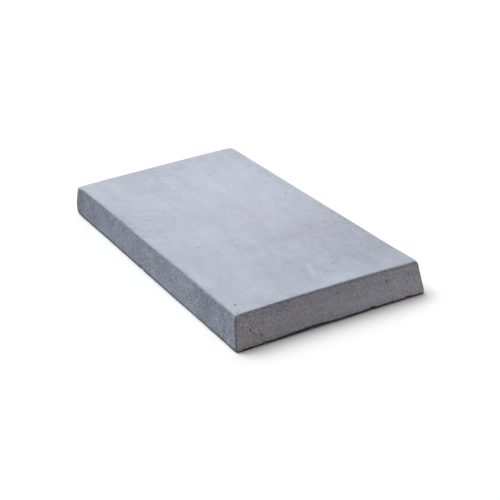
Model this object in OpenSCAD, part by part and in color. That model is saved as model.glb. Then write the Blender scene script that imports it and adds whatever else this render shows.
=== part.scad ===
// Concrete paver: a rectangular cast slab with a flat walking face, four sides
// that lean inwards from the foot to the face, and eased edges.
// Units are millimetres and +Z is up. The origin is at the middle of the underside.

/* [Slab] */
// Length over all, along X, as a tape measures it at the foot
base_length = 600; // [400:5:900]
// Width over all, along Y, as a tape measures it at the foot
base_width = 300; // [200:5:400]
// Thickness from the underside to the walking face
thickness = 50; // [30:1:100]

/* [Sides] */
// How far each end leans in between the foot and the walking face
end_batter = 13; // [2:0.5:20]
// How far each long side leans in between the foot and the walking face
side_batter = 7; // [2:0.5:20]

/* [Edges] */
// Radius of the edge around the walking face
face_edge_r = 4; // [1:0.5:8]
// Radius of the edge around the underside
foot_edge_r = 3; // [1:0.5:8]
// Radius of the four upright corners
corner_r = 3; // [1:0.5:12]

/* [Hidden] */
// The arc of an eased edge is this much wider than one that only touches its
// two faces, so that it meets each of them at a slight crease, as cast edges do
crease = 1.01;
// How far the cutting shapes run past the slab
past = 10;

$fn = 64;

// Outward direction of a side that leans in by batter, as [out, up]
function lean_direction(batter) = [thickness, batter] / norm([thickness, batter]);

// Point that lies r inside two lines through the origin, whose outward
// directions are a and b. A negative r gives the point that lies outside them.
function inset_point(a, b, r) = -r * (a + b) / (1 + a * b);

// Distance from the middle to where a side would meet the underside in a sharp
// corner. The eased foot edge stays inside it, and reaches span / 2.
function sharp_foot(span, batter) =
    span / 2 - foot_edge_r * crease - inset_point(lean_direction(batter), [0, -1], foot_edge_r)[0];

// What an eased edge of radius r takes off the sharp corner at the origin
// between two faces, whose outward directions are a and b
module edge_waste(a, b, r) {
    centre = inset_point(a, b, r);
    difference() {
        polygon([centre, centre + (r + past) * a, inset_point(a, b, -past), centre + (r + past) * b]);
        translate(centre) circle(r * crease);
    }
}

// Cross-section of the slab between two opposite sides
module section(span, batter) {
    side = lean_direction(batter);
    foot = sharp_foot(span, batter);
    head = foot - batter;
    difference() {
        polygon([[-foot, 0], [foot, 0], [head, thickness], [-head, thickness]]);
        for (flip = [0, 1]) {
            mirror([flip, 0]) {
                translate([foot, 0]) edge_waste(side, [0, -1], foot_edge_r);
                translate([head, thickness]) edge_waste(side, [0, 1], face_edge_r);
            }
        }
    }
}

// That cross-section stood up and swept along Y, past both ends of the sweep
module swept_section(span, batter, sweep) {
    rotate([90, 0, 0])
        linear_extrude(sweep + 2 * past, center = true)
            section(span, batter);
}

// What the eased upright corner in +X and +Y takes off. The corner leans in by
// both batters at once, so its section is drawn square to the leaning edge.
module corner_waste() {
    edge = [-end_batter, -side_batter, thickness];
    tilt = acos(edge[2] / norm(edge));
    turn = atan2(edge[1], edge[0]);
    along = [cos(tilt) * cos(turn), cos(tilt) * sin(turn), -sin(tilt)];
    across = [-sin(turn), cos(turn), 0];
    end_face = [lean_direction(end_batter)[0], 0, lean_direction(end_batter)[1]];
    long_face = [0, lean_direction(side_batter)[0], lean_direction(side_batter)[1]];
    translate([sharp_foot(base_length, end_batter), sharp_foot(base_width, side_batter), 0])
        rotate([0, tilt, turn])
            translate([0, 0, -past])
                linear_extrude(norm(edge) + 2 * past)
                    edge_waste(
                        [end_face * along, end_face * across],
                        [long_face * along, long_face * across],
                        corner_r
                    );
}

// The whole paver, cast in one piece
module paver() {
    color("lightslategray")
        difference() {
            intersection() {
                swept_section(base_length, end_batter, base_width);
                rotate([0, 0, 90]) swept_section(base_width, side_batter, base_length);
            }
            for (flip_x = [0, 1], flip_y = [0, 1]) {
                mirror([flip_x, 0, 0]) mirror([0, flip_y, 0]) corner_waste();
            }
        }
}

paver();
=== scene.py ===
"""Looks of the concrete paver: one cast slab with a smooth walking face, leaning sides, worn edges, air
holes and a torn foot edge round a rough underside. Metres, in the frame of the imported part: +X along the
slab, +Z out of the walking face, the origin at the middle of the underside."""
import itertools

import bpy
import numpy as np
from mathutils import Matrix, Vector


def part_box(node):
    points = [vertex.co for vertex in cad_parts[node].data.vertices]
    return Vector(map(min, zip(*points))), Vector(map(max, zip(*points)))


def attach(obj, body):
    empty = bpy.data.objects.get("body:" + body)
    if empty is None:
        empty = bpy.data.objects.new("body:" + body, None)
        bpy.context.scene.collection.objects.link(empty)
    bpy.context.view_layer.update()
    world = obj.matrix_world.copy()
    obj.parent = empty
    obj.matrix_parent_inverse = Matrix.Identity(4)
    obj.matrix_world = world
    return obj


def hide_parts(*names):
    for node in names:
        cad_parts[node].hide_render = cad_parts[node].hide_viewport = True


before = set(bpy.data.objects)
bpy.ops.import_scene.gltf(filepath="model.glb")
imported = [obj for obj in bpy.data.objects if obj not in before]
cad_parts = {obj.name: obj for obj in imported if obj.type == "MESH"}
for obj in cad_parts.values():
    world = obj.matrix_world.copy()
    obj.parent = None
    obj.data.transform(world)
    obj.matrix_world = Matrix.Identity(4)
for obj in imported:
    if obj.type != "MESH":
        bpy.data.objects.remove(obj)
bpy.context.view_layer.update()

MM = 0.001
TINY = 1e-12
# How far the looks stay inside the part's box
HAIR = 0.02 * MM

# The slab's own sizes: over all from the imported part, the rest as in its source
LOW, HIGH = (np.array(corner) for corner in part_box("paver"))
HALF_LENGTH, HALF_WIDTH = (HIGH - LOW)[:2] / 2
THICKNESS = HIGH[2] - LOW[2]
END_BATTER = 13 * MM
SIDE_BATTER = 7 * MM
END_EDGE_R = 2.8 * MM
SIDE_EDGE_R = 5.5 * MM
FOOT_EDGE_R = 3.03 * MM
CORNER_R = 2.0 * MM

# The lattice that the slab is drawn on: cells along and across, and rows up the side
CELLS_ALONG = 288
CELLS_ACROSS = 150
FOOT_ROWS = 8
SIDE_ROWS = 25
EDGE_ROWS = 7
# How much closer together the lattice lines stand near the slab's edges
GRADING = 0.5
# How far the foot draws in under its lip, as a multiple of the lip's height
FOOT_REACH = 0.45


# Noise

def lattice_noise(points, cell, seed):
    """Random heights from -1 to 1 at the corners of cubes of side cell, blended between the corners along each
    axis with the smooth step 3t^2 - 2t^3."""
    table = np.random.default_rng(seed).uniform(-1, 1, 4096)
    place = points / cell
    base = np.floor(place).astype(np.int64)
    step = place - base
    step = step * step * (3 - 2 * step)
    total = np.zeros(len(points))
    for corner in itertools.product((0, 1), repeat=3):
        key = base + np.array(corner)
        hashed = (key[:, 0] * 73856093 ^ key[:, 1] * 19349663 ^ key[:, 2] * 83492791) % len(table)
        total += table[hashed] * np.prod(np.where(corner, step, 1 - step), axis=1)
    return total


def layered_noise(points, cell, seed, layers=3):
    """Sum of lattice noises, each with cells half as large and half as strong as the one before, scaled to lie
    between -1 and 1."""
    shares = 0.5 ** np.arange(layers)
    total = sum(share * lattice_noise(points, cell * share, seed + layer) for layer, share in enumerate(shares))
    return total / shares.sum()


def near(distance, reach):
    """1 at no distance, falling off as a bell curve."""
    return np.exp(-(distance / reach) ** 2)


def smooth_step(value, start, end):
    """0 up to start, 1 from end on, and 3t^2 - 2t^3 between."""
    t = np.clip((value - start) / (end - start), 0, 1)
    return t * t * (3 - 2 * t)


# The torn foot edge

def at_end(x, y):
    """1 for places that belong to the ends, 0 for those of the long sides, blended across the corners."""
    return smooth_step(np.abs(x) / HALF_LENGTH - np.abs(y) / HALF_WIDTH, -0.02, 0.02)


def foot_lip(x, y):
    """Height of the lip all round the foot. The long sides have a moulded round foot. At the ends the foot is torn:
    the lip arches up in the middle and is broken by noise, most where it is highest."""
    place = np.stack([x, y, np.zeros_like(x)], axis=-1).reshape(-1, 3)
    breaks = layered_noise(place, 34 * MM, 31, 4).reshape(x.shape)
    near_arch = 2.0 * smooth_step(y, -150 * MM, -85 * MM) + 1.6 * near(y + 15 * MM, 60 * MM)
    far_arch = 1.6 * near(y - 60 * MM, 60 * MM)
    arch = np.where(x > 0, near_arch, far_arch)
    torn = np.maximum(0.5 + arch + (0.6 + 0.5 * arch) * breaks, 0.3)
    moulded = 3.5 + 0.7 * breaks
    return (moulded + (torn - moulded) * at_end(x, y)) * MM


def lean_line(half, batter, height):
    """Distance from the middle to a leaning side at a height. The line runs on down to a sharp foot that lies
    outside the eased foot edge, whose widest point is at half."""
    lean = np.arctan2(batter, THICKNESS)
    sharp_foot = half - FOOT_EDGE_R + FOOT_EDGE_R * np.cos(lean) / (1 - np.sin(lean))
    return sharp_foot - batter * height / THICKNESS


def graded_lines(cells):
    """Lattice lines from -1 to 1: t + g sin(pi t) / pi, which stand closer together towards both ends."""
    t = np.linspace(-1, 1, cells + 1)
    return t + GRADING * np.sin(np.pi * t) / np.pi


def rounded_corners(x, y, half_x, half_y, radius):
    """Bends the four corners of a rectangle round. In the square of side radius at each corner, the square shell
    at distance m from the square's inner corner becomes the quarter circle of radius m, with its points spread
    evenly over the right angle."""
    a = np.maximum(np.abs(x) - (half_x - radius), 0)
    b = np.maximum(np.abs(y) - (half_y - radius), 0)
    shell = np.maximum(a, b)
    turn = np.where(a >= b, np.pi / 4 * b / np.maximum(a, TINY), np.pi / 2 - np.pi / 4 * a / np.maximum(b, TINY))
    in_corner = (a > 0) & (b > 0)
    return (np.where(in_corner, np.sign(x) * (half_x - radius + shell * np.cos(turn)), x),
            np.where(in_corner, np.sign(y) * (half_y - radius + shell * np.sin(turn)), y))


def side_profile(half, batter, edge_r, lip, torn):
    """The side from the underside up, as distances from the middle and heights, a column for each lip height: from
    the ground to the lip a quarter circle, or where the foot is torn a parabola that hollows it; the straight
    leaning side; and a circular arc that turns it into the walking face."""
    lean = np.arctan2(batter, THICKNESS)
    inward = np.linspace(1, 0, FOOT_ROWS, endpoint=False)[:, None]
    reach = lip + torn * (0.6 * MM + (FOOT_REACH - 1) * lip)
    foot_out = lean_line(half, batter, lip) - inward * reach
    foot_up = lip * (torn * (1 - inward ** 2) + (1 - torn) * (1 - np.sqrt(1 - (1 - inward) ** 2)))
    arc_up = THICKNESS - edge_r
    arc_out = lean_line(half, batter, arc_up) - edge_r / np.cos(lean)
    arc_turn = np.linspace(lean, np.pi / 2, EDGE_ROWS + 1)[:, None]
    edge_out = arc_out + edge_r * np.cos(arc_turn) + 0 * lip
    edge_up = arc_up + edge_r * np.sin(arc_turn) + 0 * lip
    side_up = lip + (edge_up[0] - lip) * np.linspace(0, 1, SIDE_ROWS, endpoint=False)[:, None]
    return (np.concatenate([foot_out, lean_line(half, batter, side_up), edge_out]),
            np.concatenate([foot_up, side_up, edge_up]))


def rim_walk(cells_x, cells_y):
    """The points on the rim of a lattice, once round, anticlockwise seen from above."""
    x, y = np.arange(cells_x), np.arange(cells_y)
    return (np.concatenate([x, np.full(cells_y, cells_x), cells_x - x, np.zeros(cells_y, int)]),
            np.concatenate([np.zeros(cells_x, int), y, np.full(cells_x, cells_y), cells_y - y]))


def cap(lines_x, lines_y, half_x, half_y, height, first_index, rim_indices):
    """A flat lattice inside a rim of points that exist already: its new inner points, and its faces looking up."""
    count_x, count_y = len(lines_x) - 2, len(lines_y) - 2
    index = np.zeros((count_x + 2, count_y + 2), int)
    index[rim_walk(count_x + 1, count_y + 1)] = rim_indices
    index[1:-1, 1:-1] = first_index + np.arange(count_x * count_y).reshape(count_x, count_y)
    x, y = np.meshgrid(lines_x[1:-1] * half_x, lines_y[1:-1] * half_y, indexing="ij")
    x, y = rounded_corners(x.ravel(), y.ravel(), half_x, half_y, CORNER_R)
    faces = np.stack([index[:-1, :-1], index[1:, :-1], index[1:, 1:], index[:-1, 1:]], axis=-1)
    return np.stack([x, y, np.full(x.shape, height)], axis=1), faces.reshape(-1, 4)


def base_slab():
    """The slab before wear, as points and groups of faces: the side profile carried round the plan's rim, a fine
    lattice across the walking face, and one with half as many lines across the underside."""
    lines_x, lines_y = graded_lines(CELLS_ALONG), graded_lines(CELLS_ACROSS)
    rim_x, rim_y = rim_walk(CELLS_ALONG, CELLS_ACROSS)
    x, y = lines_x[rim_x] * HALF_LENGTH, lines_y[rim_y] * HALF_WIDTH
    lip, torn = foot_lip(x, y), at_end(x, y)
    half_x, end_up = side_profile(HALF_LENGTH, END_BATTER, END_EDGE_R, lip, torn)
    half_y, long_up = side_profile(HALF_WIDTH, SIDE_BATTER, SIDE_EDGE_R, lip, torn)
    x, y = rounded_corners(lines_x[rim_x] * half_x, lines_y[rim_y] * half_y, half_x, half_y, CORNER_R)
    # How far each point of the rim belongs to an end rather than to a long side
    to_end = np.maximum(np.abs(x) - (half_x - CORNER_R), 0) ** 2
    to_long = np.maximum(np.abs(y) - (half_y - CORNER_R), 0) ** 2
    end_share = to_end / (to_end + to_long)
    wall = np.stack([x, y, end_up * end_share + long_up * (1 - end_share)], axis=-1)
    rows, around = wall.shape[:2]
    ring = np.arange(rows * around).reshape(rows, around)
    onward = np.roll(ring, -1, axis=1)
    wall_faces = np.stack([ring[:-1], onward[:-1], onward[1:], ring[1:]], axis=-1).reshape(-1, 4)
    face_points, face_faces = cap(lines_x, lines_y, half_x[-1, 0], half_y[-1, 0], THICKNESS, ring.size, ring[-1])

    # Five-sided faces join the underside's coarser rim to the lowest ring of the wall
    coarse_x, coarse_y = lines_x[::2], lines_y[::2]
    rim_x, rim_y = rim_walk(CELLS_ALONG // 2, CELLS_ACROSS // 2)
    half_x, half_y = half_x[0].min() - 3 * MM, half_y[0].min() - 3 * MM
    x, y = rounded_corners(coarse_x[rim_x] * half_x, coarse_y[rim_y] * half_y, half_x, half_y, CORNER_R)
    rim_points = np.stack([x, y, np.zeros(len(x))], axis=1)
    rim = ring.size + len(face_points) + np.arange(len(x))
    foot = ring[0]
    join_faces = np.stack([rim, np.roll(rim, -1), np.roll(foot, -2)[::2], np.roll(foot, -1)[::2], foot[::2]], axis=1)
    under_points, under_faces = cap(coarse_x, coarse_y, half_x, half_y, 0.0, rim[-1] + 1, rim)
    points = np.concatenate([wall.reshape(-1, 3), face_points, rim_points, under_points])
    return points, [wall_faces, face_faces, join_faces, under_faces[:, ::-1]]


def outward_directions(points, face_groups):
    """Unit direction out of the surface at each point: the cross products of the diagonals of its faces, summed."""
    total = np.zeros_like(points)
    for faces in face_groups:
        across = np.cross(points[faces[:, 2]] - points[faces[:, 0]], points[faces[:, -1]] - points[faces[:, 1]])
        for corner in range(faces.shape[1]):
            np.add.at(total, faces[:, corner], across)
    return total / np.linalg.norm(total, axis=1, keepdims=True)


# Where things are on the slab

class Places:
    """How far each point is from the slab's edges, from the unworn shape. Each distance is measured square to the
    edge, across both faces that meet there. The foot edge is the lip."""
    def __init__(self, points):
        x, y, self.height = np.abs(points[:, 0]), np.abs(points[:, 1]), points[:, 2]
        in_from_end = lean_line(HALF_LENGTH, END_BATTER, self.height) - x
        in_from_long = lean_line(HALF_WIDTH, SIDE_BATTER, self.height) - y
        inward = np.maximum(np.minimum(in_from_end, in_from_long), 0)
        self.from_face_edge = np.hypot(inward, THICKNESS - self.height)
        self.over_lip = self.height - foot_lip(points[:, 0], points[:, 1])
        self.from_foot_edge = np.hypot(inward, self.over_lip)
        self.from_end, self.from_long = np.maximum(in_from_end, 0), np.maximum(in_from_long, 0)
        self.from_corner = np.hypot(self.from_end, self.from_long)
        self.end_side = smooth_step(in_from_long - in_from_end, -2 * MM, 2 * MM)


class Hole:
    """An air hole or chip: the place of its middle, the direction out of the face there, its radius and depth."""
    def __init__(self, place, outward, radius, depth):
        self.place, self.outward = np.array(place), np.array(outward)
        self.radius, self.depth = radius, depth


FACES = {
    # name: how a pair of lengths on that face, along it and up or across it, becomes a point, and its direction out
    "face": (lambda a, b: (a, b, THICKNESS), (0, 0, 1)),
    "near long side": (lambda a, b: (a, -lean_line(HALF_WIDTH, SIDE_BATTER, b), b), (0, -THICKNESS, SIDE_BATTER)),
    "far long side": (lambda a, b: (a, lean_line(HALF_WIDTH, SIDE_BATTER, b), b), (0, THICKNESS, SIDE_BATTER)),
    "near end": (lambda a, b: (lean_line(HALF_LENGTH, END_BATTER, b), a, b), (THICKNESS, 0, END_BATTER)),
    "far end": (lambda a, b: (-lean_line(HALF_LENGTH, END_BATTER, b), a, b), (-THICKNESS, 0, END_BATTER)),
    "underside": (lambda a, b: (a, b, 0.0), (0, 0, -1)),
}

# Air holes that the photo shows, in millimetres: face, along it, up or across it, radius, depth
SEEN_HOLES = (
    ("near end", -124, 25, 1.9, 1.5),
    ("near end", -120, 20, 1.4, 1.1),
    ("near end", -109, 15, 1.6, 1.3),
    ("near end", -65, 14, 1.3, 1.0),
    ("near end", 92, 34, 1.7, 1.4),
    ("face", 263, -128, 1.9, 1.5),
    ("face", 284, -137, 1.3, 0.7),
    ("face", 278, -132, 1.0, 0.6),
    ("face", 270, -138, 0.9, 0.5),
    ("face", 229, 43, 1.2, 1.0),
    ("face", 64, -88, 1.0, 0.9),
    ("face", -42, 116, 1.5, 1.0),
    ("face", 107, 120, 1.4, 0.9),
    ("face", 197, 109, 1.3, 0.9),
    ("face", -190, 54, 1.1, 0.8),
)


def scattered_holes(face, count, reach_a, range_b, radii, seed):
    """Air holes at random places on a face. Their radii follow the square of an even spread, so most are small."""
    random = np.random.default_rng(seed)
    point_at, outward = FACES[face]
    a = random.uniform(-reach_a, reach_a, count)
    b = random.uniform(*range_b, count)
    radius = radii[0] + (radii[1] - radii[0]) * random.uniform(0, 1, count) ** 2
    depth = radius * random.uniform(0.5, 1.0, count)
    return [Hole(point_at(a[i], b[i]), outward, radius[i], depth[i]) for i in range(count)]


def all_holes():
    """Every air hole that is deep enough to be shaped: those that the photo shows, and random ones."""
    seen = []
    for face, a, b, radius, depth in SEEN_HOLES:
        point_at, outward = FACES[face]
        seen.append(Hole(point_at(a * MM, b * MM), outward, radius * MM, depth * MM))
    along, across, height = HALF_LENGTH - 22 * MM, HALF_WIDTH - 14 * MM, (8 * MM, THICKNESS - 8 * MM)
    return (seen
            + scattered_holes("face", 26, along, (-across, across), (0.5 * MM, 1.1 * MM), 11)
            + scattered_holes("near long side", 34, along, height, (0.5 * MM, 1.2 * MM), 12)
            + scattered_holes("far long side", 34, along, height, (0.5 * MM, 1.4 * MM), 13)
            + scattered_holes("near end", 22, across, height, (0.5 * MM, 1.1 * MM), 14)
            + scattered_holes("far end", 26, across, height, (0.5 * MM, 1.4 * MM), 15)
            + scattered_holes("underside", 60, along, (-across, across), (1.5 * MM, 4.0 * MM), 16))


def draw_in(points, hole):
    """Slides the points round a hole towards its middle, along the face, so that the lattice is fine enough there
    to shape it. Inside the reach a point's distance d becomes reach (d / reach)^1.7. Nothing moves off the face."""
    reach = max(7 * MM, 3.5 * hole.radius)
    outward = hole.outward / np.linalg.norm(hole.outward)
    apart = points - hole.place
    off_face = apart @ outward
    along_face = apart - off_face[:, None] * outward
    distance = np.linalg.norm(along_face, axis=1)
    close = (distance < reach) & (np.abs(off_face) < 0.02 * MM)
    shrink = (np.maximum(distance[close], TINY) / reach) ** 0.7
    points[close] += along_face[close] * (shrink - 1)[:, None]


def hollow_depth(points, hole):
    """A bowl with a steep rim: depth times the square root of 1 - (d / radius)^2."""
    outward = hole.outward / np.linalg.norm(hole.outward)
    apart = points - hole.place
    off_face = apart @ outward
    distance = np.linalg.norm(apart - off_face[:, None] * outward, axis=1)
    inside = np.maximum(1 - (distance / hole.radius) ** 2, 0)
    return np.where(np.abs(off_face) < 0.02 * MM, hole.depth * np.sqrt(inside), 0)


# Wear and relief, all of it inwards, so that the slab stays within its cast size

def chips(points, on_edge, count, radii, seed):
    """Small bites out of an edge. Each is a ball centred on an edge point, that pushes the surface in by a third of
    its radius times 1 - (d / radius)^2. Their radii follow the cube of an even spread."""
    random = np.random.default_rng(seed)
    total = np.zeros(len(points))
    for index in random.choice(np.flatnonzero(on_edge), count, replace=False):
        radius = (radii[0] + (radii[1] - radii[0]) * random.uniform() ** 3) * MM
        distance = np.linalg.norm(points - points[index], axis=1)
        total = np.maximum(total, radius / 3 * np.maximum(1 - (distance / radius) ** 2, 0))
    return total


# Corners knocked round: end (1 near, -1 far), long side (-1 near, 1 far), face or foot, reach and depth in mm
KNOCKED_CORNERS = (
    (1, -1, "foot", 7, 1.1),
    (1, 1, "foot", 5, 1.0),
    (-1, -1, "foot", 13, 3.0),
    (-1, 1, "foot", 8, 2.0),
    (-1, -1, "face", 5, 0.5),
    (1, -1, "face", 4, 0.5),
    (-1, 1, "face", 7, 1.4),
    (1, 1, "face", 6, 1.4),
)


def knocked_corners(points):
    """Rounding of each listed corner: points near it move towards the slab's middle, down too from a face corner, by
    its depth times a bell curve of the distance from the sharp corner."""
    total = np.zeros_like(points)
    for end, side, level, reach, depth in KNOCKED_CORNERS:
        height, down = (THICKNESS, -0.5) if level == "face" else (0, 0)
        corner = (end * lean_line(HALF_LENGTH, END_BATTER, height), side * lean_line(HALF_WIDTH, SIDE_BATTER, height), height)
        share = near(np.linalg.norm(points - np.array(corner), axis=1), reach * MM)
        total += depth * MM * share[:, None] * np.array([-0.7 * end, -0.7 * side, down])
    return total


def wear_depth(points, places):
    """How far the surface lies inside the moulded shape: edges rubbed round in long and short waves, chips,
    a torn lip, the faint unevenness of the faces, and the rough struck underside."""
    long_wave = 0.5 + 0.5 * lattice_noise(points, 90 * MM, 21)
    short_wave = 0.5 + 0.5 * layered_noise(points, 16 * MM, 22)
    face_edge = near(places.from_face_edge, 3.5 * MM) * (0.45 * long_wave + 0.25 * short_wave) * MM
    corners = near(places.from_corner, 3 * MM) * (0.2 * long_wave + 0.2 * short_wave) * MM
    tearing = 0.5 + 0.5 * layered_noise(points, 9 * MM, 23)
    foot = near(places.from_foot_edge, 2.5 * MM) * (0.05 + 0.8 * tearing ** 3) * MM
    on_side = smooth_step(places.over_lip, 0, 4 * MM) * smooth_step(THICKNESS - places.height, 1 * MM, 5 * MM)
    side = on_side * (0.14 + 0.14 * layered_noise(points, 8 * MM, 24)) * MM
    under = smooth_step(-places.height, -0.4 * MM, 0) * (0.5 + 0.5 * layered_noise(points, 14 * MM, 25)) * MM
    face = smooth_step(places.height, THICKNESS - 0.4 * MM, THICKNESS) * (0.1 + 0.1 * layered_noise(points, 60 * MM, 26)) * MM
    edge_bites = chips(points, (places.from_face_edge < 1.5 * MM), 26, (1.0, 2.4), 27)
    corner_bites = chips(points, (places.from_corner < 2 * MM) & (places.over_lip > 0), 8, (1.0, 2.4), 28)
    foot_bites = chips(points, places.from_foot_edge < 1.5 * MM, 110, (1.5, 6.0), 29)
    return face_edge + corners + foot + side + under + face + edge_bites + corner_bites + foot_bites


def wavering(points, places):
    """The sides bow out and in along their length. A point moves square to the side by a sum of bell curves and a
    long noise, growing from nothing at the foot to all of it at the face, and fading inwards in 14 mm. One corner
    of the walking face lies a little low."""
    x, y = points[:, 0] / MM, points[:, 1] / MM
    rise = (places.height / THICKNESS) ** 1.5
    noise = lattice_noise(points * (1, 1, 0), 110 * MM, 41)
    near_long = (-1.2 + 2.1 * near(x + 288, 16) - 0.7 * near(x + 190, 30) - 0.7 * near(x + 120, 60) + 0.4 * near(x, 40)
                 - 0.4 * near(x - 115, 40) - 1.2 * near(x - 170, 100) + 0.7 * near(x - 190, 22) - 0.4 * near(x - 290, 40)
                 + 0.15 * noise)
    far_long = 0.9 * smooth_step(-x, -230, 0) - 0.6 * near(x + 40, 160) + 4.0 * near(x - 288, 50) + 0.3 * noise
    near_end = 2.4 * near(y + 143, 55) + 0.2 * near(y - 143, 50) + 0.15 * noise
    far_end = -0.4 * near(y + 143, 100) + 0.4 * noise
    near_long_foot = -0.6 - 0.5 * near(x + 150, 100) + 0.2 * near(x - 288, 22)
    far_long_foot = -0.5 * near(x - 288, 90)
    near_end_foot = 1.4 * near(y + 95, 60) + 1.6 * near(y + 143, 20) - 0.8 * near(y - 110, 80)
    long_side = np.where(y < 0, near_long, far_long) * rise + np.where(y < 0, near_long_foot, far_long_foot) * (1 - rise)
    ends = np.where(x < 0, far_end, near_end) * rise + np.where(x < 0, 0, near_end_foot) * (1 - rise)
    long_side = long_side * near(places.from_long, 14 * MM) * MM
    ends = ends * near(places.from_end, 14 * MM) * MM
    far_corner, right_corner = np.hypot(x + 288, y + 143), np.hypot(x - 288, y - 143)
    sunk = (1.5 * near(far_corner, 170) + 1.0 * near(far_corner, 25) + 2.0 * near(right_corner, 60)) * rise * MM
    return np.stack([np.sign(x) * ends, np.sign(y) * long_side, -sunk], axis=1)


# Light and dark patches, in millimetres: face, along, across or up, length, width, turn, strength
PATCHES = (
    ("face", -150, 65, 140, 85, 0, 0.110),
    ("face", 205, 125, 120, 85, 0, -0.190),
    ("face", 200, -15, 75, 60, 0, -0.060),
    ("face", -40, -25, 150, 55, 0, 0.030),
    ("face", -285, -115, 80, 60, 0, 0.045),
    ("face", 255, -105, 70, 60, 0, -0.025),
    ("face", 90, 50, 60, 50, 0, -0.030),
    ("face", -150, -110, 100, 50, 0, 0.025),
    ("face", -285, 40, 25, 70, 0, -0.020),
    ("face", 229, 8, 22, 3.5, -17, 0.190),
    ("face", -100, -28, 70, 4, -17, 0.030),
    ("face", -25, -52, 75, 4, -10, 0.020),
    ("face", 60, 140, 100, 14, 0, -0.060),
    # A light band along the near long edge of the walking face: painted highlight
    ("face", 175, -130, 80, 7, 0, 0.030),
    ("face", -160, -72, 110, 34, 0, 0.035),
    ("near long side", -20, 25, 210, 60, 0, 0.090),
    ("near long side", -275, 32, 50, 40, 0, -0.100),
    ("near long side", 200, 25, 50, 60, 0, -0.070),
    ("near long side", 90, 40, 60, 9, -6, 0.030),
    ("near long side", -265, 45, 70, 14, 0, -0.060),
    ("near long side", -292, 6, 30, 16, 0, -0.090),
    ("near long side", 150, 9, 100, 16, 0, 0.075),
    ("near long side", 296, 6, 20, 16, 0, -0.080),
    ("near end", -110, 20, 110, 60, 0, -0.080),
    ("near end", 0, 50, 300, 20, 0, -0.105),
    ("near end", 0, 3, 300, 16, 0, 0.080),
    ("near end", -90, 44, 70, 10, 0, -0.040),
    ("near end", -110, 26, 50, 10, 0, 0.040),
    ("near end", 95, 20, 80, 40, 0, 0.040),
    ("near end", 100, 6, 75, 16, 0, 0.190),
    ("near end", 130, 46, 60, 18, 0, -0.040),
)

# Places where the concrete is of another tint: lilac on the walking face, brown on the ends
TINTS = (
    ("face", 20, 40, 110, 38, 8, 1.0),
    ("face", 110, 100, 80, 30, 0, 0.8),
    ("face", 255, 10, 25, 40, 0, 0.4),
    ("face", 60, -70, 45, 22, 0, 0.6),
    ("face", -110, 40, 40, 18, 0, 0.4),
    ("near end", -140, 8, 55, 22, 0, 0.9),
    ("near end", 140, 5, 40, 12, 0, 0.5),
    ("near end", -150, 45, 20, 40, 0, 0.4),
    ("near long side", -290, 5, 45, 12, 0, 0.6),
    ("near long side", 285, 8, 45, 16, 0, 0.6),
)


SMUDGES = (
    ("face", -195, -22, 85, 30, -18, 1.0),
    ("face", -110, -106, 105, 26, -6, 0.9),
    ("face", -60, -138, 110, 8, 0, 0.7),
    ("face", -140, 75, 80, 20, 0, 0.35),
    ("near long side", -40, 45, 240, 10, 0, 0.8),
    ("face", -262, 60, 26, 70, 0, 0.8),
    ("face", -180, 128, 110, 11, 0, 1.0),
    ("face", 120, 133, 110, 8, 0, 1.0),
    ("face", 240, 30, 40, 40, 0, 0.3),
    ("face", 272, -70, 16, 50, 0, 0.6),
    ("face", 200, -136, 110, 6, 0, 0.6),
    ("face", 0, 0, 400, 200, 0, 0.12),
)


def patch_sum(points, patches, weights):
    """Sum of bell-shaped patches, each one on its own face only: strength times exp(-(u^2 + v^2)) of the lengths
    along and across the patch."""
    places_on = {"face": (0, 1), "near long side": (0, 2), "near end": (1, 2)}
    total = np.zeros(len(points))
    for face, along, across, length, width, turn, strength in patches:
        first, second = places_on[face]
        apart_a, apart_b = points[:, first] - along * MM, points[:, second] - across * MM
        cos, sin = np.cos(np.radians(turn)), np.sin(np.radians(turn))
        u = (apart_a * cos + apart_b * sin) / (length * MM)
        v = (apart_b * cos - apart_a * sin) / (width * MM)
        total += strength * np.exp(-(u * u + v * v)) * weights[face]
    return total


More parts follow.
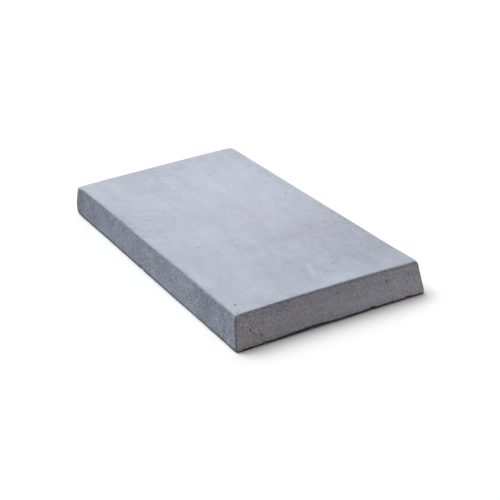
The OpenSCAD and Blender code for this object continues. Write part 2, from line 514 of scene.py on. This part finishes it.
def build_slab():
    """The slab's mesh: base shape, lattice drawn in round the holes, then everything worn in. It carries what the
    material needs to know about each point."""
    points, face_groups = base_slab()
    places = Places(points)
    outward = outward_directions(points, face_groups)
    holes = all_holes()
    for hole in holes:
        draw_in(points, hole)
    hollow = np.zeros(len(points))
    for hole in holes:
        hollow = np.maximum(hollow, hollow_depth(points, hole))
    places = Places(points)
    worn = wear_depth(points, places)
    on_face, under = smooth_step(outward[:, 2], 0.45, 0.95), smooth_step(-outward[:, 2], 0.3, 0.9)
    on_side = 1 - np.maximum(on_face, under)
    weights = {
        "face": on_face,
        "near long side": on_side * (1 - places.end_side) * (points[:, 1] < 0),
        "near end": on_side * places.end_side * (points[:, 0] > 0),
    }
    marks = {
        "walking_face": on_face,
        "underside": under,
        # Near end gets the end colours; the far end mostly the long sides' colours with their painted shade
        "end": places.end_side * (1 - under) * np.where(points[:, 0] > 0, 1.0, 0.15),
        "edge": near(places.from_face_edge, 4 * MM),
        # Painted shade: a dark line down the upright corners and along the sides just below the walking face's edges
        "arris_shade": np.maximum(1.5 * near(places.from_corner, 2.2 * MM),
                            (0.25 + 0.25 * places.end_side) * near(places.from_face_edge - 2.5 * MM, 2 * MM)) * on_side,
        # Painted highlight: a lighter band on the long sides about 6 mm from the upright corners
        "gleam": near(places.from_corner - 6 * MM, 4 * MM) * (1 - places.end_side) * on_side,
        # Painted shade at the foot, near the sides: darkens below the lip and a band just above it, where the foot edge
        # and the gap under it lie in shade
        "foot": ((0.7 + 0.3 * places.end_side) * smooth_step(-places.over_lip, (-2.6 + 1.8 * places.end_side) * MM, 0.4 * MM)
                 * (1 - smooth_step(np.minimum(places.from_end, places.from_long), 2 * MM, 12 * MM))
                 * (1.1 - (1 - places.end_side) * 0.4 * near(points[:, 0] - 165 * MM, 90 * MM) - 0.1 * places.end_side)),
        # Share of a shaped hole's depth, which the material darkens with painted shade
        "hollow": np.clip(hollow / (0.7 * MM), 0, 1),
        "tone": patch_sum(points, PATCHES, weights),
        "tint": patch_sum(points, TINTS, weights),
        "smudge": patch_sum(points, SMUDGES, weights),
    }
    points = points - outward * (worn + hollow)[:, None] + knocked_corners(points) + wavering(points, places)
    points = np.clip(points, LOW + HAIR, HIGH - HAIR)

    mesh = bpy.data.meshes.new("slab")
    mesh.from_pydata(points.tolist(), [], [face for faces in face_groups for face in faces.tolist()])
    mesh.shade_smooth()
    for name, values in marks.items():
        layer = mesh.attributes.new(name, "FLOAT", "POINT")
        layer.data.foreach_set("value", values.astype(np.float32))
    mesh.validate()
    slab = bpy.data.objects.new("slab", mesh)
    bpy.context.scene.collection.objects.link(slab)
    return slab


# Node trees

class Tree:
    """A node tree, with one short call for each kind of node used here. A value is a number, a tuple or a socket."""
    def __init__(self, tree):
        self.tree = tree

    def put(self, socket, value):
        if isinstance(value, bpy.types.NodeSocket):
            self.tree.links.new(value, socket)
        elif value is not None:
            socket.default_value = value

    def node(self, kind, inputs=(), **settings):
        node = self.tree.nodes.new(kind)
        for name, value in settings.items():
            setattr(node, name, value)
        for key, value in dict(inputs).items():
            self.put(node.inputs[key], value)
        return node

    def math(self, operation, first, second=None, third=None, clamp=False):
        node = self.node("ShaderNodeMath", operation=operation, use_clamp=clamp)
        for socket, value in zip(node.inputs, (first, second, third)):
            self.put(socket, value)
        return node.outputs[0]

    def add(self, *values):
        total = values[0]
        for value in values[1:]:
            total = self.math("ADD", total, value)
        return total

    def times(self, *values):
        total = values[0]
        for value in values[1:]:
            total = self.math("MULTIPLY", total, value)
        return total

    def ramp(self, value, start, end, low=0.0, high=1.0):
        """Smooth step from low at start to high at end."""
        node = self.node("ShaderNodeMapRange", {0: value, 1: start, 2: end, 3: low, 4: high}, interpolation_type="SMOOTHSTEP")
        return node.outputs[0]

    def mix(self, share, first, second):
        """Blends two colours."""
        node = self.node("ShaderNodeMix", data_type="RGBA")
        self.put(node.inputs[0], share)
        self.put(node.inputs[6], first)
        self.put(node.inputs[7], second)
        return node.outputs[2]

    def mix_number(self, share, first, second):
        node = self.node("ShaderNodeMix", data_type="FLOAT")
        self.put(node.inputs[0], share)
        self.put(node.inputs[2], first)
        self.put(node.inputs[3], second)
        return node.outputs[0]

    def scaled(self, vector, by):
        node = self.node("ShaderNodeVectorMath", operation="SCALE")
        self.put(node.inputs[0], vector)
        self.put(node.inputs["Scale"], by)
        return node.outputs[0]

    def stretched(self, vector, by, turn=0.0, shift=(0, 0, 0)):
        """Turns a pattern about Z, then scales it by a number for each axis."""
        return self.node("ShaderNodeMapping", {"Vector": vector, "Rotation": (0, 0, turn), "Scale": by, "Location": shift}).outputs[0]

    def noise(self, vector, size, layers=2.0, roughness=0.5, bend=0.0):
        """Cloudy noise from 0 to 1 whose blots are about size across."""
        place = self.scaled(vector, self.math("DIVIDE", 1.0, size))
        node = self.node("ShaderNodeTexNoise", {"Vector": place, "Scale": 1.0, "Detail": layers, "Roughness": roughness, "Distortion": bend})
        return node.outputs[0]

    def mark(self, name):
        """A value that the mesh carries."""
        return self.node("ShaderNodeAttribute", attribute_name=name).outputs["Fac"]


def new_group(name, inputs, outputs):
    """An empty node group with named sockets. inputs are (name, kind, value) and outputs are (name, kind)."""
    tree = bpy.data.node_groups.new(name, "ShaderNodeTree")
    for label, kind, value in inputs:
        socket = tree.interface.new_socket(label, in_out="INPUT", socket_type="NodeSocket" + kind)
        if value is not None:
            socket.default_value = value
    for label, kind in outputs:
        tree.interface.new_socket(label, in_out="OUTPUT", socket_type="NodeSocket" + kind)
    given = tree.nodes.new("NodeGroupInput")
    result = tree.nodes.new("NodeGroupOutput")
    return Tree(tree), given.outputs, result.inputs


def clouding_group():
    """Broad and middle-sized blots of light and dark, as cement skin dries in."""
    tree, given, result = new_group(
        "clouding", [("Place", "Vector", None), ("Broad size", "Float", 0.1), ("Fine size", "Float", 0.02)], [("Tone", "Float")])
    broad = tree.noise(given["Place"], given["Broad size"], 3.0, 0.55, 0.6)
    fine = tree.noise(given["Place"], given["Fine size"], 3.0, 0.6, 0.3)
    tone = tree.add(tree.times(tree.math("SUBTRACT", broad, 0.5), 2.4), tree.times(tree.math("SUBTRACT", fine, 0.5), 1.6))
    tree.put(result["Tone"], tone)
    return tree.tree


def sand_grain_group():
    """Sand in the cement skin: round grains, each with its own lightness, in a paste of fine dust."""
    tree, given, result = new_group(
        "sand_grain", [("Place", "Vector", None), ("Grain size", "Float", 0.001)], [("Tone", "Float"), ("Height", "Float")])
    size = given["Grain size"]
    place = tree.scaled(given["Place"], tree.math("DIVIDE", 1.0, size))
    grains = tree.node("ShaderNodeTexVoronoi", {"Vector": place, "Scale": 1.0, "Randomness": 1.0}, feature="F1")
    lightness = tree.node("ShaderNodeSeparateColor", {0: grains.outputs["Color"]}).outputs[0]
    round_grain = tree.ramp(grains.outputs["Distance"], 0.62, 0.30)
    dust = tree.noise(given["Place"], tree.times(size, 0.8), 2.0, 0.6)
    tree.put(result["Tone"], tree.add(tree.times(tree.math("SUBTRACT", lightness, 0.5), round_grain, 1.3),
                                      tree.times(tree.math("SUBTRACT", dust, 0.5), 1.6)))
    swell = tree.times(round_grain, lightness)
    tree.put(result["Height"], tree.times(size, tree.add(tree.times(swell, 0.4), tree.times(dust, 0.4))))
    return tree.tree


def air_holes_group():
    """Pinholes left by air against the mould. A share of the cells of a random pattern each hold one ball-shaped
    hole, and the surface cuts the balls at random depths, so the holes differ in size."""
    tree, given, result = new_group(
        "air_holes", [("Place", "Vector", None), ("Spacing", "Float", 0.01), ("Radius", "Float", 0.001), ("Share", "Float", 0.3)],
        [("Mask", "Float"), ("Height", "Float")])
    place = tree.scaled(given["Place"], tree.math("DIVIDE", 1.0, given["Spacing"]))
    cells = tree.node("ShaderNodeTexVoronoi", {"Vector": place, "Scale": 1.0, "Randomness": 1.0}, feature="F1")
    chances = tree.node("ShaderNodeSeparateColor", {0: cells.outputs["Color"]}).outputs
    radius = tree.times(given["Radius"], tree.add(tree.times(chances[1], 0.9), 0.3))
    distance = tree.times(cells.outputs["Distance"], given["Spacing"])
    inside = tree.ramp(tree.math("DIVIDE", distance, radius), 1.0, 0.55)
    chosen = tree.math("LESS_THAN", chances[0], given["Share"])
    mask = tree.times(inside, chosen)
    tree.put(result["Mask"], mask)
    tree.put(result["Height"], tree.times(mask, radius, -0.8))
    return tree.tree


def edge_wear_group():
    """Rubbed edges: the mark of closeness to an edge, broken up by noise."""
    tree, given, result = new_group(
        "edge_wear", [("Place", "Vector", None), ("Closeness", "Float", 0.0), ("Size", "Float", 0.01)], [("Mask", "Float")])
    noise = tree.noise(given["Place"], given["Size"], 4.0, 0.6)
    tree.put(result["Mask"], tree.ramp(tree.add(given["Closeness"], tree.times(tree.math("SUBTRACT", noise, 0.5), 1.3)), 0.45, 1.0))
    return tree.tree


# Colours, linear
FACE_COLOUR = (0.357, 0.391, 0.459, 1)
FACE_TINT = (0.371, 0.375, 0.468, 1)
# Long side colours darker than the same concrete on the face and near end: painted shade; the far end mostly takes them
# too
LONG_SIDE_SHADED_COLOUR = (0.220, 0.249, 0.307, 1)
LONG_SIDE_SHADED_TINT = (0.228, 0.243, 0.279, 1)
END_COLOUR = (0.352, 0.349, 0.394, 1)
END_TINT = (0.370, 0.340, 0.344, 1)
UNDERSIDE_COLOUR = (0.360, 0.365, 0.380, 1)


def concrete_material():
    """Cast concrete: cement skin on the walking face, a grainier moulded side, sand showing at the ends, and a
    rough underside, blended by the marks that the mesh carries. Painted shade darkens the long sides' colour,
    the upright corners, the foot and the air holes; painted highlights lighten the walking face's edges and
    the long sides beside the upright corners."""
    groups = {make.__name__: make() for make in (clouding_group, sand_grain_group, air_holes_group, edge_wear_group)}
    material = bpy.data.materials.new("cast_concrete")
    material.use_nodes = True
    material.node_tree.nodes.clear()
    tree = Tree(material.node_tree)

    def group(name, **inputs):
        node = tree.node("ShaderNodeGroup", node_tree=groups[name + "_group"])
        for label, value in inputs.items():
            tree.put(node.inputs[label.replace("_", " ")], value)
        return node.outputs

    place = tree.node("ShaderNodeTexCoord").outputs["Object"]
    face, under, end = tree.mark("walking_face"), tree.mark("underside"), tree.mark("end")
    side = tree.math("SUBTRACT", 1.0, tree.math("ADD", face, under), clamp=True)
    edge, arris_shade, gleam = tree.mark("edge"), tree.mark("arris_shade"), tree.mark("gleam")
    foot, hollow = tree.mark("foot"), tree.mark("hollow")

    # Tones, each a share of the colour
    along = tree.stretched(place, (0.55, 1.0, 1.0))
    face_clouds = group("clouding", Place=along, Broad_size=0.045, Fine_size=0.014)["Tone"]
    side_clouds = group("clouding", Place=place, Broad_size=0.030, Fine_size=0.008)["Tone"]
    fine = group("sand_grain", Place=place, Grain_size=0.0014)
    coarse = group("sand_grain", Place=place, Grain_size=0.0030)
    face_pins = group("air_holes", Place=place, Spacing=0.009, Radius=0.0009, Share=0.25)
    side_pins = group("air_holes", Place=place, Spacing=0.006, Radius=0.0010, Share=0.35)
    wear = group("edge_wear", Place=place, Closeness=edge, Size=0.012)["Mask"]
    # Small damp-looking smudges, in fields
    smudges = tree.times(tree.ramp(tree.noise(place, 0.009, 4.0, 0.7), 0.44, 0.76), tree.mark("smudge"))

    clouds = tree.mix_number(face, tree.times(side_clouds, tree.mix_number(end, 0.31, 0.08)), tree.times(face_clouds, 0.155))
    uneven = tree.mix_number(face, tree.add(0.2, tree.times(tree.noise(place, 0.050, 2.0, 0.5), 1.6)), 1.0)
    specks = tree.add(tree.times(fine["Tone"], tree.mix_number(face, tree.mix_number(end, 0.30, 0.45), 0.11)),
                      tree.times(coarse["Tone"], tree.mix_number(face, tree.mix_number(end, 0.62, 0.43), 0.105)))
    tone = tree.add(1.0, clouds, tree.times(specks, uneven), tree.mark("tone"), tree.times(smudges, -0.22))

    tint = tree.add(tree.mark("tint"), tree.times(tree.math("SUBTRACT", tree.noise(place, 0.022, 3.0, 0.6), 0.5), 2.4))
    tint = tree.math("ADD", tint, 0.0, clamp=True)
    # Long sides and most of the far end in the colours darkened with painted shade
    colour = tree.mix(end, tree.mix(tint, LONG_SIDE_SHADED_COLOUR, LONG_SIDE_SHADED_TINT), tree.mix(tint, END_COLOUR, END_TINT))
    colour = tree.mix(face, colour, tree.mix(tint, FACE_COLOUR, FACE_TINT))
    colour = tree.mix(under, colour, UNDERSIDE_COLOUR)
    colour = tree.scaled(colour, tone)
    # Painted shade in the air holes: pinholes that are only bump, and the shaped holes, are darkened
    pins = tree.math("MAXIMUM", tree.times(face_pins["Mask"], face, 0.35), tree.times(side_pins["Mask"], side, 0.5))
    dark = tree.math("MAXIMUM", pins, tree.times(hollow, 0.5))
    colour = tree.scaled(colour, tree.math("SUBTRACT", 1.0, dark))
    # Colour scaled: lighter at the walking face's edges by rubbed wear and a painted highlight, darker down the upright
    # corners, below the face's edges and at the foot by painted shade, lighter beside the upright corners by a painted
    # highlight
    colour = tree.scaled(colour, tree.add(1.0, tree.times(wear, face, 0.03), tree.times(arris_shade, -0.40),
                                        tree.times(gleam, 0.09), tree.times(foot, -0.8)))

    roughness = tree.mix_number(face, 0.88, tree.add(0.70, tree.times(smudges, 0.12), tree.times(face_clouds, 0.03)))
    pin_height = tree.add(tree.times(face_pins["Height"], face), tree.times(side_pins["Height"], side))
    grain_height = tree.add(tree.times(fine["Height"], tree.mix_number(face, 0.22, 0.05)),
                            tree.times(coarse["Height"], tree.mix_number(face, 0.14, 0.02)))
    under_height = tree.times(tree.noise(place, 0.006, 4.0, 0.65), under, 0.0012)
    bump = tree.node("ShaderNodeBump", {"Height": tree.add(grain_height, pin_height, under_height), "Distance": 1.0, "Strength": 1.0})

    shader = tree.node("ShaderNodeBsdfPrincipled", {
        "Base Color": colour, "Roughness": roughness, "Specular IOR Level": 0.35, "Normal": bump.outputs[0]})
    out = tree.node("ShaderNodeOutputMaterial")
    tree.put(out.inputs["Surface"], shader.outputs[0])
    return material


# Studio

CAMERA_PLACE = (1.744, -0.7987, 0.8634)
CAMERA_HEADING = 154.70
CAMERA_PITCH = -24.34
CAMERA_ROLL = -4.87
PHOTO_SIDE = 500
FOCAL_PX = 1364.9
SENSOR = 36.0


def add_camera():
    """A camera at the photo's viewpoint. Heading is measured from +X towards +Y, pitch upwards, roll anticlockwise."""
    heading, pitch, roll = (np.radians(angle) for angle in (CAMERA_HEADING, CAMERA_PITCH, CAMERA_ROLL))
    ahead = Vector((np.cos(heading) * np.cos(pitch), np.sin(heading) * np.cos(pitch), np.sin(pitch)))
    level = Vector((np.sin(heading), -np.cos(heading), 0))
    upright = level.cross(ahead)
    right = level * np.cos(roll) + upright * np.sin(roll)
    up = upright * np.cos(roll) - level * np.sin(roll)
    data = bpy.data.cameras.new("camera")
    data.sensor_width = SENSOR
    data.lens = FOCAL_PX * SENSOR / PHOTO_SIDE
    data.clip_end = 100
    camera = bpy.data.objects.new("camera", data)
    turn = Matrix((right, up, -ahead)).transposed().to_4x4()
    camera.matrix_world = Matrix.Translation(CAMERA_PLACE) @ turn
    bpy.context.scene.collection.objects.link(camera)
    bpy.context.scene.camera = camera


def add_sun(name, heading, height, spread, strength, colour=(1, 1, 1)):
    """Soft light from far away. Heading is where it comes from, measured from +X towards +Y; spread is how wide
    it looks, both in degrees."""
    data = bpy.data.lights.new(name, "SUN")
    data.energy, data.angle, data.color = strength, np.radians(spread), colour
    lamp = bpy.data.objects.new(name, data)
    heading, height = np.radians(heading), np.radians(height)
    towards = Vector((np.cos(heading) * np.cos(height), np.sin(heading) * np.cos(height), np.sin(height)))
    lamp.rotation_euler = towards.to_track_quat("Z", "Y").to_euler()
    bpy.context.scene.collection.objects.link(lamp)


def add_floor():
    """A wide pale floor."""
    half = 30.0
    mesh = bpy.data.meshes.new("floor")
    mesh.from_pydata([(-half, -half, 0), (half, -half, 0), (half, half, 0), (-half, half, 0)], [], [(0, 1, 2, 3)])
    floor = bpy.data.objects.new("floor", mesh)
    bpy.context.scene.collection.objects.link(floor)
    material = bpy.data.materials.new("floor_paper")
    material.use_nodes = True
    shader = material.node_tree.nodes["Principled BSDF"]
    shader.inputs["Base Color"].default_value = (0.86, 0.86, 0.86, 1)
    shader.inputs["Roughness"].default_value = 1.0
    shader.inputs["Specular IOR Level"].default_value = 0.0
    mesh.materials.append(material)


def add_world():
    """Even light from all round."""
    world = bpy.data.worlds.new("studio")
    world.use_nodes = True
    world.node_tree.nodes["Background"].inputs["Color"].default_value = (1, 1, 1, 1)
    world.node_tree.nodes["Background"].inputs["Strength"].default_value = 0.19
    bpy.context.scene.world = world


add_camera()
slab = build_slab()
slab.data.materials.append(concrete_material())
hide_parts("paver")
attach(slab, "root")
add_floor()
add_world()
# A tall soft key, as two lights one over the other, and a low fill
add_sun("key_high", heading=195, height=64, spread=45, strength=1.95)
add_sun("key_low", heading=195, height=50, spread=45, strength=1.60)
add_sun("fill", heading=145, height=25, spread=40, strength=0.71)
bpy.context.scene.view_settings.view_transform = "Standard"
